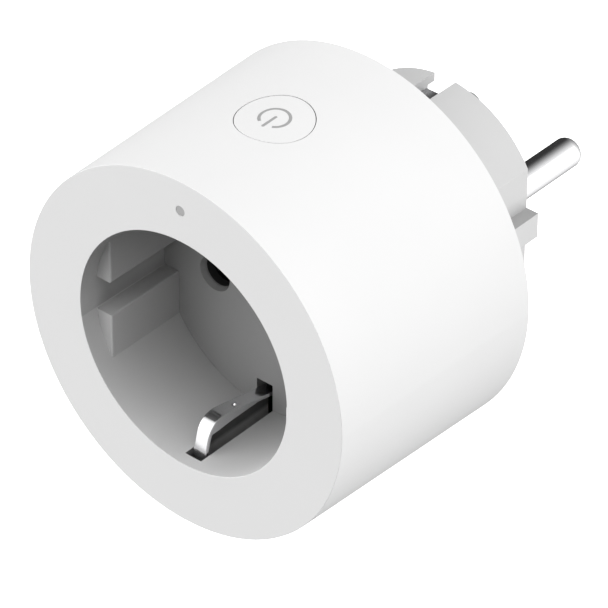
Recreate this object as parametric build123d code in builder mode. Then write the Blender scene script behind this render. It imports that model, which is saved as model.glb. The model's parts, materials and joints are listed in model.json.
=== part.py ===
"""Smart plug: a round wall plug that carries a switched socket for a plug with side earth contacts.

Millimetres. The origin is the middle of the plug's flat contact face. +Z is up, through the push
button. The socket faces the user along -Y, and the two pins point into the wall along +Y.
"""
from build123d import *
import os

# ---------------------------------------------------------------- driving dimensions
# body
FRONT_R = 29.6          # outer radius at the front face
BACK_R = 30.7           # outer radius at the back edge
BODY_LENGTH = 39.8
WALL = 2.0
FACE_PLATE = 2.1        # thickness of the ring around the socket
EDGE_SOFTENING = 0.08

# socket
RECESS_R = 19.5
RECESS_FLOOR_R = 19.4   # the recess narrows a little towards its floor, so that it leaves its mould
RECESS_DEPTH = 17.7
CUP_WALL = 1.6
FLOOR_PLATE = 2.5
PAD_FACE_X = 16.5       # flat guide pads on both sides of the recess
PAD_GAP = 5.7           # gap between the upper and the lower pad
PAD_START = 3.2         # behind the front face
PAD_EDGE = 0.3          # rounding of the guide pads
EARTH_SLOT = 3.0        # width of the slots for the earth clips
EARTH_SLOT_FLOOR_Z = 14.8
PIN_SPACING = 19.0
PIN_HOLE_R = 2.55
PIN_HOLE_LEAD_R = 2.85
PIN_HOLE_LEAD = 0.9

# plug base and pins
BASE_R = 18.15
BASE_HEIGHT = 18.0
BASE_WALL = 2.25
BASE_PLATE = 3.4        # thickness of the plate that holds the pins
BASE_FLAT_X = 15.8
BASE_RIB_X = 18.0
BASE_RIB = 4.2
BASE_CAVITY_X = 13.9
PIN_R = 2.4
PIN_NECK = 3.2          # square neck that stops the pin from turning in its plate
PIN_LENGTH = 19.0
PIN_TIP_FILLET = 1.6
EARTH_GROOVE = 3.9
EARTH_GROOVE_FLOOR_Z = 15.8
EARTH_STRIP = 0.6
EARTH_STRIP_WIDTH = 3.6
EARTH_BRIDGE_WIDTH = 4.0
EARTH_RIVET_Y = -23.0
EARTH_RIVET_R = 0.77
EARTH_HOOK_POCKET = 2.5
EARTH_PIN_Z = 10.0      # socket in the plug face for an earth pin that stands out of the wall socket
EARTH_PIN_HOLE_R = 2.75

# controls
BUTTON_R = 5.75
BUTTON_GAP = 0.12
BUTTON_EDGE = 0.08      # rounding of the button's upper edge
INDICATOR_Z = 24.7
INDICATOR_R = 0.79

# moving parts inside
SHUTTER_R = 13.4
SHUTTER_ANGLE = 38.0
CLIP_WIDTH = 2.4

# fastening
SCREW_CIRCLE_R = 25.0
SCREW_HEAD_R = 2.25
SCREW_SHANK_R = 1.1
BOSS_R = 2.4
CARRIER_SCREW_X = 17.8
CARRIER_SCREW_HEAD_R = 2.0
CARRIER_SCREW_SHANK_R = 0.9
SCREW_SLACK = 0.2       # a screw's hole is wider than the screw by this, on the radius
SLIP = 0.05             # clearance between pieces that only rest against each other

# ---------------------------------------------------------------- places along the axis
FACE_Y = -(BASE_HEIGHT + BODY_LENGTH)
BACK_Y = -BASE_HEIGHT
CUP_Y = FACE_Y + FACE_PLATE
FLOOR_Y = FACE_Y + RECESS_DEPTH
FLOOR_BACK_Y = FLOOR_Y + FLOOR_PLATE
COVER_Y = BACK_Y - WALL
BUTTON_Y = FACE_Y + BODY_LENGTH / 2
PIN_X = PIN_SPACING / 2
CUP_R = RECESS_R + CUP_WALL
COVER_R = BACK_R - WALL - 0.1
BOSS_END_Y = COVER_Y - 0.3
SCREW_DEPTH = 11.0
COLLAR_Y = CUP_Y + 5.2
COLLAR_DEPTH = WALL + BASE_HEIGHT + 1.25
CARRIER_Y = FLOOR_BACK_Y + 3.0
BOARD_THICKNESS = 1.6
MAIN_BOARD_Y = -33.9
MAIN_BOARD_BACK_Y = MAIN_BOARD_Y + BOARD_THICKNESS
POWER_BOARD_Y = -7.6
BUTTON_BOARD_Z = 21.7
BUTTON_BOARD_TOP_Z = BUTTON_BOARD_Z + 1.0

os.makedirs("parts", exist_ok=True)


def across(y, x=0.0, z=0.0):
    """Plane across the axis at y: its sketch axes are X and Z, and it extrudes towards the front."""
    return Plane(origin=(x, y, z), x_dir=(1, 0, 0), z_dir=(0, -1, 0))


def side_on(x):
    """Plane along the axis at x: its sketch axes are Y and Z, and it extrudes towards +X."""
    return Plane(origin=(x, 0, 0), x_dir=(0, 1, 0), z_dir=(1, 0, 0))


def save(builder, name):
    """Label the finished piece and write it as its own STEP file."""
    builder.part.label = name
    export_step(builder.part, f"parts/{name}.step")


def disc(radius, y_front, y_back, x=0.0, z=0.0, mode=Mode.ADD):
    """A round length along Y, added to or cut from the part being built."""
    with Locations(Location((x, (y_front + y_back) / 2, z), (90, 0, 0))):
        Cylinder(radius, y_back - y_front, mode=mode)


def block(x_range, y_range, z_range, mode=Mode.ADD):
    """A box between the given limits, added to or cut from the part being built."""
    low = (x_range[0], y_range[0], z_range[0])
    high = (x_range[1], y_range[1], z_range[1])
    middle = [(a + b) / 2 for a, b in zip(low, high)]
    with Locations(tuple(middle)):
        Box(high[0] - low[0], high[1] - low[1], high[2] - low[2], mode=mode)


def span(end, near, far):
    """Limits of a length from near to far, on the positive or the negative side as end is 1 or -1."""
    return tuple(sorted((end * near, end * far)))


def plug_base_outline(margin=0.0):
    """Section of the plug base, wider by a margin: round, with a flat on each side and a rib on it."""
    flat_x = BASE_FLAT_X + margin
    with BuildSketch() as outline:
        Circle(BASE_R + margin)
        with Locations((flat_x + 5, 0), (-flat_x - 5, 0)):
            Rectangle(10, 2 * BASE_R + 4, mode=Mode.SUBTRACT)
        Rectangle(2 * (BASE_RIB_X + margin), BASE_RIB + 2 * margin)
    return outline.sketch


# ---------------------------------------------------------------- casing
with BuildPart() as front_shell:
    with BuildSketch(Plane.XY):
        with BuildLine():
            Polyline(
                (RECESS_R, FACE_Y),
                (FRONT_R, FACE_Y),
                (BACK_R, BACK_Y),
                (BACK_R - WALL, BACK_Y),
                (FRONT_R - WALL, CUP_Y),
                (CUP_R + 1.5, CUP_Y),
                (CUP_R + 1.5, COLLAR_Y),
                (CUP_R + 0.1, COLLAR_Y),
                (CUP_R + 0.1, CUP_Y),
                (RECESS_R, CUP_Y),
                close=True,
            )
        make_face()
    revolve(axis=Axis.Y)
    # soft front edge and soft edge around the socket
    front_rims = front_shell.edges().filter_by(GeomType.CIRCLE).group_by(Axis.Y)[0]
    fillet(front_rims, EDGE_SOFTENING)
    # slots in the collar, where the ends of the earth clips swing out
    block((-2.2, 2.2), (CUP_Y, COLLAR_Y), (CUP_R - 1, CUP_R + 2), mode=Mode.SUBTRACT)
    block((-2.2, 2.2), (CUP_Y, COLLAR_Y), (-CUP_R - 2, 1 - CUP_R), mode=Mode.SUBTRACT)
    # hole for the button
    with BuildSketch(Plane(origin=(0, BUTTON_Y, CUP_R + 2))):
        Circle(BUTTON_R + BUTTON_GAP)
    extrude(amount=10, mode=Mode.SUBTRACT)
    # hole for the indicator
    disc(INDICATOR_R + 0.03, FACE_Y - 1, CUP_Y + 1, z=INDICATOR_Z, mode=Mode.SUBTRACT)
    # screw bosses, each joined to the side wall by a web
    with BuildSketch(across(BOSS_END_Y)):
        with PolarLocations(SCREW_CIRCLE_R, 4, start_angle=45):
            Circle(BOSS_R)
        with PolarLocations(SCREW_CIRCLE_R + 2.8, 4, start_angle=45):
            Rectangle(2.4, 1.6)
    extrude(amount=BOSS_END_Y - CUP_Y)
    with BuildSketch(across(BOSS_END_Y)):
        with PolarLocations(SCREW_CIRCLE_R, 4, start_angle=45):
            Circle(SCREW_SHANK_R + SLIP)
    extrude(amount=SCREW_DEPTH, mode=Mode.SUBTRACT)
save(front_shell, "front_shell")

with BuildPart() as socket_insert:
    disc(CUP_R, CUP_Y, FLOOR_BACK_Y)
    with Locations(Location((0, (CUP_Y + FLOOR_Y) / 2, 0), (90, 0, 0))):
        Cone(RECESS_FLOOR_R, RECESS_R, FLOOR_Y - CUP_Y, mode=Mode.SUBTRACT)
    # four guide pads: the parts of the round recess beyond the flat faces, with a gap at mid height
    with BuildSketch(across(FLOOR_Y)):
        Circle(RECESS_R + 0.1)
        Rectangle(2 * PAD_FACE_X, 2 * CUP_R, mode=Mode.SUBTRACT)
        Rectangle(2 * CUP_R, PAD_GAP, mode=Mode.SUBTRACT)
    extrude(amount=FLOOR_Y - FACE_Y - PAD_START)
    # rounded edges of the pads: round their front faces, and along the mouth of the gap
    pad_fronts = socket_insert.faces().filter_by_position(
        Axis.Y, FACE_Y + PAD_START - 0.1, FACE_Y + PAD_START + 0.1
    )
    pad_edges = pad_fronts.edges().filter_by(Axis.Z)
    for side in (-1, 1):
        for end in (-1, 1):
            corner = (side * PAD_FACE_X, (FACE_Y + PAD_START + FLOOR_Y) / 2, end * PAD_GAP / 2)
            pad_edges += socket_insert.edges().filter_by(Axis.Y).sort_by_distance(corner)[:1]
    fillet(pad_edges, PAD_EDGE)
    # posts behind the floor for the contact carrier, and cheeks beside the root of each earth clip
    for side in (-1, 1):
        disc(BOSS_R, FLOOR_BACK_Y - 0.5, CARRIER_Y, x=side * CARRIER_SCREW_X)
        for end in (-1, 1):
            block(
                span(side, 1.6, 3.0),
                (FLOOR_BACK_Y - 0.5, FLOOR_BACK_Y + 2.6),
                span(end, 16.7, 19.2),
            )
    # earth slots through the wall and on into the floor
    for end in (-1, 1):
        block(
            (-EARTH_SLOT / 2, EARTH_SLOT / 2),
            (CUP_Y - 1, FLOOR_BACK_Y + 3),
            span(end, EARTH_SLOT_FLOOR_Z, CUP_R + 1),
            mode=Mode.SUBTRACT,
        )
    # guards that carry the sides of the lower slot on behind the wall, clear of the clip as it swings
    for side in (-1, 1):
        block(
            span(side, EARTH_SLOT / 2, EARTH_SLOT / 2 + 0.6),
            (CUP_Y + 0.1, FLOOR_Y + FLOOR_PLATE),
            (-CUP_R - 2.6, 0.2 - CUP_R),
        )
    # pin holes with a lead-in cone, and pilot holes in the posts
    for side in (-1, 1):
        disc(PIN_HOLE_R, FLOOR_Y - 1, FLOOR_BACK_Y + 1, x=side * PIN_X, mode=Mode.SUBTRACT)
        with BuildSketch(across(FLOOR_Y + PIN_HOLE_LEAD, side * PIN_X)):
            Circle(PIN_HOLE_R)
        with BuildSketch(across(FLOOR_Y, side * PIN_X)):
            Circle(PIN_HOLE_LEAD_R)
        loft(mode=Mode.SUBTRACT)
        pilot_r = CARRIER_SCREW_SHANK_R + SLIP
        disc(pilot_r, CARRIER_Y - 4.5, CARRIER_Y, x=side * CARRIER_SCREW_X, mode=Mode.SUBTRACT)
save(socket_insert, "socket_insert")

with BuildPart() as rear_cover:
    disc(COVER_R, COVER_Y, BACK_Y)
    # opening that the plug base stands through
    with BuildSketch(across(BACK_Y)):
        add(plug_base_outline(0.05))
    extrude(amount=WALL, mode=Mode.SUBTRACT)
    # recessed screw holes
    with BuildSketch(across(BACK_Y)):
        with PolarLocations(SCREW_CIRCLE_R, 4, start_angle=45):
            Circle(SCREW_HEAD_R + SCREW_SLACK)
    extrude(amount=1.0, mode=Mode.SUBTRACT)
    with BuildSketch(across(BACK_Y)):
        with PolarLocations(SCREW_CIRCLE_R, 4, start_angle=45):
            Circle(SCREW_SHANK_R + SCREW_SLACK)
    extrude(amount=WALL, mode=Mode.SUBTRACT)
save(rear_cover, "rear_cover")

with BuildPart() as plug_base:
    with BuildSketch(across(0)):
        add(plug_base_outline())
    extrude(amount=-COVER_Y)
    # collar that holds the base behind the cover
    with BuildSketch(across(COVER_Y - SLIP)):
        add(plug_base_outline(1.6))
    extrude(amount=1.2)
    with BuildSketch(across(COVER_Y)):
        add(plug_base_outline())
    extrude(amount=0.5)
    # cavity, narrower at the top and bottom, where the earth grooves need wall under them
    with BuildSketch(across(-BASE_PLATE)):
        Circle(BASE_R - BASE_WALL)
        Rectangle(2 * BASE_CAVITY_X, 2 * BASE_R, mode=Mode.INTERSECT)
        with Locations((0, BASE_R - 2), (0, 2 - BASE_R)):
            Rectangle(6.8, 4.3, mode=Mode.SUBTRACT)
    extrude(amount=COLLAR_DEPTH - BASE_PLATE, mode=Mode.SUBTRACT)
    for end in (-1, 1):
        # earth groove, and the pocket for the hooked end of its strip
        block(
            (-EARTH_GROOVE / 2, EARTH_GROOVE / 2),
            (-COLLAR_DEPTH - 1, 1),
            span(end, EARTH_GROOVE_FLOOR_Z, BASE_R + 3),
            mode=Mode.SUBTRACT,
        )
        block(
            (-3.2, 3.2),
            (-EARTH_HOOK_POCKET, 1),
            span(end, 13.4, 16.6),
            mode=Mode.SUBTRACT,
        )
        # room for the bridge between the strips
        block(
            (-2.3, 2.3),
            (-COLLAR_DEPTH - 1, COVER_Y - SLIP),
            span(end, 13.0, BASE_R),
            mode=Mode.SUBTRACT,
        )
    # square holes for the necks of the pins, each in a shallow round seat, and a hole for an earth pin
    for side in (-1, 1):
        neck_hole = PIN_NECK / 2 + 0.02
        block(
            (side * PIN_X - neck_hole, side * PIN_X + neck_hole),
            (-BASE_PLATE - 1, 1),
            (-neck_hole, neck_hole),
            mode=Mode.SUBTRACT,
        )
        disc(PIN_R + 0.1, -0.3, 1, x=side * PIN_X, mode=Mode.SUBTRACT)
    disc(EARTH_PIN_HOLE_R, -BASE_PLATE - 1, 1, z=EARTH_PIN_Z, mode=Mode.SUBTRACT)
save(plug_base, "plug_base")

with BuildPart() as cover_screws:
    with BuildSketch(across(BACK_Y - 0.1)):
        with PolarLocations(SCREW_CIRCLE_R, 4, start_angle=45):
            Circle(SCREW_HEAD_R)
    extrude(amount=0.85)
    with BuildSketch(across(BACK_Y - 0.9)):
        with PolarLocations(SCREW_CIRCLE_R, 4, start_angle=45):
            Circle(SCREW_SHANK_R)
    extrude(amount=9.5)
    # cross recess
    with BuildSketch(across(BACK_Y)):
        with PolarLocations(SCREW_CIRCLE_R, 4, start_angle=45):
            Rectangle(2.4, 0.5)
            Rectangle(0.5, 2.4)
    extrude(amount=0.65, mode=Mode.SUBTRACT)
save(cover_screws, "cover_screws")

# ---------------------------------------------------------------- plug pins
for side, name in ((1, "live_pin"), (-1, "neutral_pin")):
    with BuildPart() as pin:
        disc(PIN_R, 0.01, PIN_LENGTH, x=side * PIN_X)
        fillet(pin.edges().sort_by(Axis.Y)[-1], PIN_TIP_FILLET)
        # neck in the base plate, collar behind it and tail soldered to the board
        block(
            (side * PIN_X - PIN_NECK / 2, side * PIN_X + PIN_NECK / 2),
            (-BASE_PLATE - SLIP, 0.01),
            (-PIN_NECK / 2, PIN_NECK / 2),
        )
        disc(3.6, -BASE_PLATE - 1.6, -BASE_PLATE - SLIP, x=side * PIN_X)
        disc(1.9, POWER_BOARD_Y - 1.1, -BASE_PLATE - 1.6, x=side * PIN_X)
    save(pin, name)

# ---------------------------------------------------------------- protective earth
STRIP_TOP_Z = EARTH_GROOVE_FLOOR_Z + EARTH_STRIP
STRIP_FRONT_Y = -37.0
for end, name in ((1, "upper_earth_strip"), (-1, "lower_earth_strip")):
    with BuildPart() as earth_strip:
        hook_y = -EARTH_HOOK_POCKET + SLIP
        block(
            (-EARTH_STRIP_WIDTH / 2, EARTH_STRIP_WIDTH / 2),
            (STRIP_FRONT_Y, hook_y + 0.5),
            span(end, EARTH_GROOVE_FLOOR_Z + 0.03, STRIP_TOP_Z),
        )
        block(
            (-EARTH_STRIP_WIDTH / 2, EARTH_STRIP_WIDTH / 2),
            (hook_y, hook_y + 0.5),
            span(end, 14.0, STRIP_TOP_Z),
        )
        outer_end = earth_strip.edges().filter_by(Axis.X).group_by(Axis.Y)[-1]
        fillet(outer_end.sort_by(lambda edge: abs(edge.center().Z))[-1], 0.1)
        with Locations((0, EARTH_RIVET_Y, end * STRIP_TOP_Z)):
            Cylinder(EARTH_RIVET_R + 0.03, 2, mode=Mode.SUBTRACT)
    save(earth_strip, name)

BRIDGE_Y = -21.4
BRIDGE_Z = EARTH_GROOVE_FLOOR_Z - 0.02
with BuildPart() as earth_bridge:
    bridge_x = (-EARTH_BRIDGE_WIDTH / 2, EARTH_BRIDGE_WIDTH / 2)
    block(bridge_x, (BRIDGE_Y, BRIDGE_Y + EARTH_STRIP), (-BRIDGE_Z, BRIDGE_Z))
    for end in (-1, 1):
        block(bridge_x, (BRIDGE_Y - 3.4, BRIDGE_Y), span(end, BRIDGE_Z - EARTH_STRIP, BRIDGE_Z))
        with Locations((0, EARTH_RIVET_Y, end * BRIDGE_Z)):
            Cylinder(EARTH_RIVET_R + 0.03, 2, mode=Mode.SUBTRACT)
save(earth_bridge, "earth_bridge")

with BuildPart() as earth_rivets:
    for end in (-1, 1):
        with Locations((0, EARTH_RIVET_Y, end * (BRIDGE_Z + 0.01))):
            Cylinder(EARTH_RIVET_R, 2.0)
        outer_head = (0, EARTH_RIVET_Y, end * (STRIP_TOP_Z + 0.25))
        inner_head = (0, EARTH_RIVET_Y, end * (BRIDGE_Z - 0.85))
        with Locations(outer_head, inner_head):
            Cylinder(1.3, 0.48)
save(earth_rivets, "earth_rivets")

with BuildPart() as earth_pin_contact:
    disc(3.15, BRIDGE_Y + EARTH_STRIP + SLIP, -BASE_PLATE - SLIP, z=EARTH_PIN_Z)
    disc(2.5, BRIDGE_Y + 1.6, 0, z=EARTH_PIN_Z, mode=Mode.SUBTRACT)
    block((-0.4, 0.4), (-14, 0), (EARTH_PIN_Z - 4, EARTH_PIN_Z + 4), mode=Mode.SUBTRACT)
save(earth_pin_contact, "earth_pin_contact")

# The sprung earth clips. Each outline is given as depth behind the front face and distance from the
# axis: a straight leg that stands in the wall slot, a bend up to the contact crest and a slope back to
# the rolled root. Folded side flanges stiffen it up to where the slope has come close to their edges.
CLIP_ROOT_DEPTH = 21.6
CLIP_ROOT_Z = 17.6
CLIP_ROOT_R = 0.9
CLIP_CREST_Z = 14.35
CLIP_FLANGE_Z = 16.45
for end, name in ((1, "upper_earth_clip"), (-1, "lower_earth_clip")):

    def at(depth, height):
        """A point of the clip's outline in the side plane."""
        return (FACE_Y + depth, end * height)

    foot, leg_top, crest = at(3.15, 20.2), at(4.1, 16.9), at(7.3, CLIP_CREST_Z)
    root_top = at(CLIP_ROOT_DEPTH, CLIP_ROOT_Z - CLIP_ROOT_R)
    with BuildPart() as earth_clip:
        with BuildSketch(side_on(-CLIP_WIDTH / 2)):
            with BuildLine():
                Line(foot, leg_top)
                Bezier(leg_top, at(4.7, 14.8), at(6.0, CLIP_CREST_Z), crest)
                Bezier(crest, at(9.0, CLIP_CREST_Z), at(15.0, 15.9), root_top)
                Polyline(
                    root_top,
                    at(CLIP_ROOT_DEPTH, CLIP_ROOT_Z),
                    at(18.2, 16.85),
                    at(14.5, 16.05),
                    at(5.0, CLIP_FLANGE_Z),
                    at(4.6, 17.0),
                    at(3.65, 20.2),
                    foot,
                )
            make_face()
        extrude(amount=CLIP_WIDTH)
        # hollow underside between the folded side flanges
        with BuildSketch(side_on(-CLIP_WIDTH / 2 + 0.5)):
            with BuildLine():
                Polyline(
                    at(5.6, CLIP_FLANGE_Z + 0.25),
                    at(5.9, 15.6),
                    at(7.2, CLIP_CREST_Z + 0.6),
                    at(9.3, CLIP_CREST_Z + 0.8),
                    at(12.6, 15.8),
                    at(13.2, CLIP_FLANGE_Z),
                    close=True,
                )
            make_face()
        extrude(amount=CLIP_WIDTH - 1.0, mode=Mode.SUBTRACT)
        # rolled root, the round that the clip swings about
        with BuildSketch(side_on(-CLIP_WIDTH / 2)):
            with Locations(at(CLIP_ROOT_DEPTH, CLIP_ROOT_Z)):
                Circle(CLIP_ROOT_R)
        extrude(amount=CLIP_WIDTH)
    save(earth_clip, name)

# ---------------------------------------------------------------- socket contacts and their carrier
CONTACT_R = 3.3
CONTACT_BORE_R = 2.45
CONTACT_FRONT_Y = CARRIER_Y + 0.9
CONTACT_BACK_Y = -21.7
BUSBAR_X = PIN_X + CONTACT_R + SLIP
CARRIER_BACK_Y = -22.2
with BuildPart() as contact_carrier:
    block((-15.2, 15.2), (CARRIER_Y, CARRIER_BACK_Y), (-6.5, 6.5))
    fillet(contact_carrier.edges().filter_by(Axis.Y), 1.5)
    # screw ears
    block((-20.2, 20.2), (CARRIER_Y, CARRIER_Y + 2), (-2.6, 2.6))
    for side in (-1, 1):
        screw_hole_r = CARRIER_SCREW_SHANK_R + SCREW_SLACK + 0.1
        disc(screw_hole_r, CARRIER_Y - 1, CARRIER_Y + 3, x=side * CARRIER_SCREW_X, mode=Mode.SUBTRACT)
        disc(CONTACT_R + 0.3, CARRIER_Y - 1, 0, x=side * PIN_X, mode=Mode.SUBTRACT)
        block(
            span(side, PIN_X + 2, BUSBAR_X + 1.1),
            (-28.0, CARRIER_BACK_Y + 1),
            (-2.3, 2.3),
            mode=Mode.SUBTRACT,
        )
    # well for the shutter spring, and the bore that holds the shutter's pivot
    disc(3.3, CARRIER_Y - 1, CARRIER_Y + 3, mode=Mode.SUBTRACT)
    disc(1.47, CARRIER_Y, CARRIER_Y + 6, mode=Mode.SUBTRACT)
save(contact_carrier, "contact_carrier")

with BuildPart() as carrier_screws:
    for side in (-1, 1):
        screw_x = side * CARRIER_SCREW_X
        disc(CARRIER_SCREW_HEAD_R, CARRIER_Y + 2 + SLIP, CARRIER_Y + 3.4, x=screw_x)
        disc(CARRIER_SCREW_SHANK_R, CARRIER_Y - 4, CARRIER_Y + 2.5, x=screw_x)
        block(
            (screw_x - 1.2, screw_x + 1.2),
            (CARRIER_Y + 2.8, CARRIER_Y + 4),
            (-0.25, 0.25),
            mode=Mode.SUBTRACT,
        )
save(carrier_screws, "carrier_screws")

for side, name in ((1, "live_contact"), (-1, "neutral_contact")):
    with BuildPart() as contact:
        disc(CONTACT_R, CONTACT_FRONT_Y, CONTACT_BACK_Y, x=side * PIN_X)
        disc(CONTACT_BORE_R, CONTACT_FRONT_Y - 1, 0, x=side * PIN_X, mode=Mode.SUBTRACT)
        # two slits part the front into four fingers
        slit_end = CONTACT_FRONT_Y + 8
        block((side * PIN_X - 0.4, side * PIN_X + 0.4), (-40, slit_end), (-5, 5), mode=Mode.SUBTRACT)
        block((side * PIN_X - 5, side * PIN_X + 5), (-40, slit_end), (-0.4, 0.4), mode=Mode.SUBTRACT)
    save(contact, name)

for side, name in ((1, "live_busbar"), (-1, "neutral_busbar")):
    with BuildPart() as busbar:
        block(span(side, BUSBAR_X, BUSBAR_X + 0.8), (-27.5, POWER_BOARD_Y - SLIP), (-2, 2))
        # foot that is soldered to the power board
        block(
            span(side, BUSBAR_X - 1.6, BUSBAR_X + 0.8),
            (POWER_BOARD_Y - SLIP - 0.8, POWER_BOARD_Y - SLIP),
            (2.4, 5.0),
        )
        block(span(side, BUSBAR_X, BUSBAR_X + 0.8), (-12, POWER_BOARD_Y - SLIP), (1.9, 5.0))
    save(busbar, name)

# ---------------------------------------------------------------- child-safety shutter
SHUTTER_FRONT_Y = FLOOR_BACK_Y + 0.3
SHUTTER_BACK_Y = SHUTTER_FRONT_Y + 2.4
with BuildPart() as shutter_rotor:
    disc(SHUTTER_R, SHUTTER_FRONT_Y, SHUTTER_BACK_Y)
    with BuildSketch(across(SHUTTER_BACK_Y)):
        with PolarLocations(PIN_X, 2, start_angle=SHUTTER_ANGLE):
            Circle(PIN_R + 0.4)
        Circle(1.5)
    extrude(amount=3, mode=Mode.SUBTRACT)
    # shallow troughs that lead each pin from the closed place towards the open hole
    with BuildSketch(across(SHUTTER_FRONT_Y + 0.9)):
        with PolarLocations(PIN_X, 2, start_angle=SHUTTER_ANGLE / 2 + 4):
            Rectangle(4.4, 7.0)
    extrude(amount=2, taper=-12, mode=Mode.SUBTRACT)
    # two bites in the rim make the disc lighter
    with BuildSketch(across(SHUTTER_BACK_Y)):
        with PolarLocations(SHUTTER_R + 1, 2, start_angle=115):
            Circle(5.0)
    extrude(amount=3, mode=Mode.SUBTRACT)
save(shutter_rotor, "shutter_rotor")

with BuildPart() as shutter_pivot:
    disc(1.45, FLOOR_BACK_Y + 0.05, CARRIER_Y + 5.8)
save(shutter_pivot, "shutter_pivot")

SPRING_R = 2.4
SPRING_WIRE_R = 0.22
with BuildPart() as shutter_spring:
    with BuildLine():
        start = (0, CARRIER_Y + 0.5, 0)
        coil = Helix(pitch=0.6, height=1.8, radius=SPRING_R, center=start, direction=(0, 1, 0))
    with BuildSketch(Plane(origin=coil @ 0, z_dir=coil % 0)):
        Circle(SPRING_WIRE_R)
    sweep(path=coil, is_frenet=True)
save(shutter_spring, "shutter_spring")

# ---------------------------------------------------------------- power board and relay in the plug base
with BuildPart() as power_board:
    with BuildSketch(across(POWER_BOARD_Y + BOARD_THICKNESS)):
        Circle(BASE_R - BASE_WALL - 0.4)
        Rectangle(2 * BASE_CAVITY_X - 0.3, 2 * BASE_R, mode=Mode.INTERSECT)
        with Locations((0, BASE_R - 2), (0, 2 - BASE_R)):
            Rectangle(7.6, 5.0, mode=Mode.SUBTRACT)
        with Locations((PIN_X, 0), (-PIN_X, 0)):
            Circle(1.95, mode=Mode.SUBTRACT)
        with Locations((0, EARTH_PIN_Z)):
            Circle(3.4, mode=Mode.SUBTRACT)
    extrude(amount=BOARD_THICKNESS)
save(power_board, "power_board")

RELAY_X = 5.0
RELAY_BOTTOM_Z = -12.9
RELAY_TOP_Z = 4.6
RELAY_BASE_Y = POWER_BOARD_Y - SLIP - 1.4
RELAY_FRONT_Y = -20.3
RELAY_WALL = 0.6
COIL_Z = -8.3
YOKE_Z = -4.2
ARMATURE_Y = -17.6
ARMATURE_PIVOT_Z = -3.8
with BuildPart() as relay_base:
    block((-RELAY_X, RELAY_X), (RELAY_BASE_Y, POWER_BOARD_Y - SLIP), (RELAY_BOTTOM_Z, RELAY_TOP_Z))
    fillet(relay_base.edges().filter_by(Axis.Y), 0.5)
save(relay_base, "relay_base")

with BuildPart() as relay_case:
    block((-RELAY_X, RELAY_X), (RELAY_FRONT_Y, RELAY_BASE_Y - SLIP), (RELAY_BOTTOM_Z, RELAY_TOP_Z))
    fillet(relay_case.edges().filter_by(Axis.Y), 0.5)
    block(
        (RELAY_WALL - RELAY_X, RELAY_X - RELAY_WALL),
        (RELAY_FRONT_Y + RELAY_WALL, RELAY_BASE_Y),
        (RELAY_BOTTOM_Z + RELAY_WALL, RELAY_TOP_Z - RELAY_WALL),
        mode=Mode.SUBTRACT,
    )
save(relay_case, "relay_case")

with BuildPart() as relay_bobbin:
    disc(1.9, ARMATURE_Y + 0.5, RELAY_BASE_Y - 0.9, z=COIL_Z)
    disc(3.8, ARMATURE_Y + 0.5, ARMATURE_Y + 1.1, z=COIL_Z)
    disc(3.8, RELAY_BASE_Y - 1.5, RELAY_BASE_Y - 0.9, z=COIL_Z)
    disc(1.25, ARMATURE_Y, RELAY_BASE_Y, z=COIL_Z, mode=Mode.SUBTRACT)
save(relay_bobbin, "relay_bobbin")

with BuildPart() as relay_coil:
    disc(3.4, ARMATURE_Y + 1.15, RELAY_BASE_Y - 1.55, z=COIL_Z)
    disc(1.95, ARMATURE_Y, RELAY_BASE_Y, z=COIL_Z, mode=Mode.SUBTRACT)
save(relay_coil, "relay_coil")

with BuildPart() as relay_core:
    disc(1.2, ARMATURE_Y + 0.35, RELAY_BASE_Y - 0.85, z=COIL_Z)
save(relay_core, "relay_core")

with BuildPart() as relay_yoke:
    block((-3.6, 3.6), (ARMATURE_Y + 0.12, RELAY_BASE_Y - SLIP), (YOKE_Z, YOKE_Z + 0.8))
    block((-3.6, 3.6), (RELAY_BASE_Y - 0.8, RELAY_BASE_Y - SLIP), (COIL_Z - 2.5, YOKE_Z))
save(relay_yoke, "relay_yoke")

with BuildPart() as relay_armature:
    block((-3.5, 3.5), (ARMATURE_Y - 0.7, ARMATURE_Y - 0.02), (COIL_Z - 3.2, ARMATURE_PIVOT_Z))
    # rounded heel that rocks on the yoke
    with BuildSketch(side_on(-3.5)):
        with Locations((ARMATURE_Y - 0.36, ARMATURE_PIVOT_Z)):
            Circle(0.34)
    extrude(amount=7.0)
save(relay_armature, "relay_armature")

with BuildPart() as relay_moving_contact:
    block((-1.8, 1.8), (ARMATURE_Y - 0.95, ARMATURE_Y - 0.75), (COIL_Z - 1.5, 3.0))
    disc(0.9, ARMATURE_Y - 1.25, ARMATURE_Y - 0.95, z=2.0)
save(relay_moving_contact, "relay_moving_contact")

with BuildPart() as relay_fixed_contact:
    block((-1.8, 1.8), (ARMATURE_Y - 1.98, RELAY_BASE_Y - SLIP), (3.3, 3.7))
    block((-1.8, 1.8), (ARMATURE_Y - 1.98, ARMATURE_Y - 1.78), (1.0, 3.7))
    disc(0.9, ARMATURE_Y - 1.78, ARMATURE_Y - 1.62, z=2.0)
save(relay_fixed_contact, "relay_fixed_contact")

# ---------------------------------------------------------------- main board and what stands on it
BOARD_PIN_X = (-5.4, -4.1, 4.1, 5.4)
BOARD_PIN_Z = 23.1
with BuildPart() as main_board:
    with BuildSketch(across(MAIN_BOARD_BACK_Y)):
        Circle(27.0)
        RectangleRounded(41.6, 14.8, 1.5, mode=Mode.SUBTRACT)
        Rectangle(7.0, 39.6, mode=Mode.SUBTRACT)
        with PolarLocations(SCREW_CIRCLE_R + 1.5, 4, start_angle=45):
            SlotCenterToCenter(3.0, 2 * BOSS_R + 0.8, mode=Mode.SUBTRACT)
        with Locations((0, 28.0)):
            Rectangle(15.0, 5.2, mode=Mode.SUBTRACT)
        with Locations(*((x, BOARD_PIN_Z) for x in BOARD_PIN_X)):
            Circle(0.4, mode=Mode.SUBTRACT)
    extrude(amount=BOARD_THICKNESS)
save(main_board, "main_board")

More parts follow.
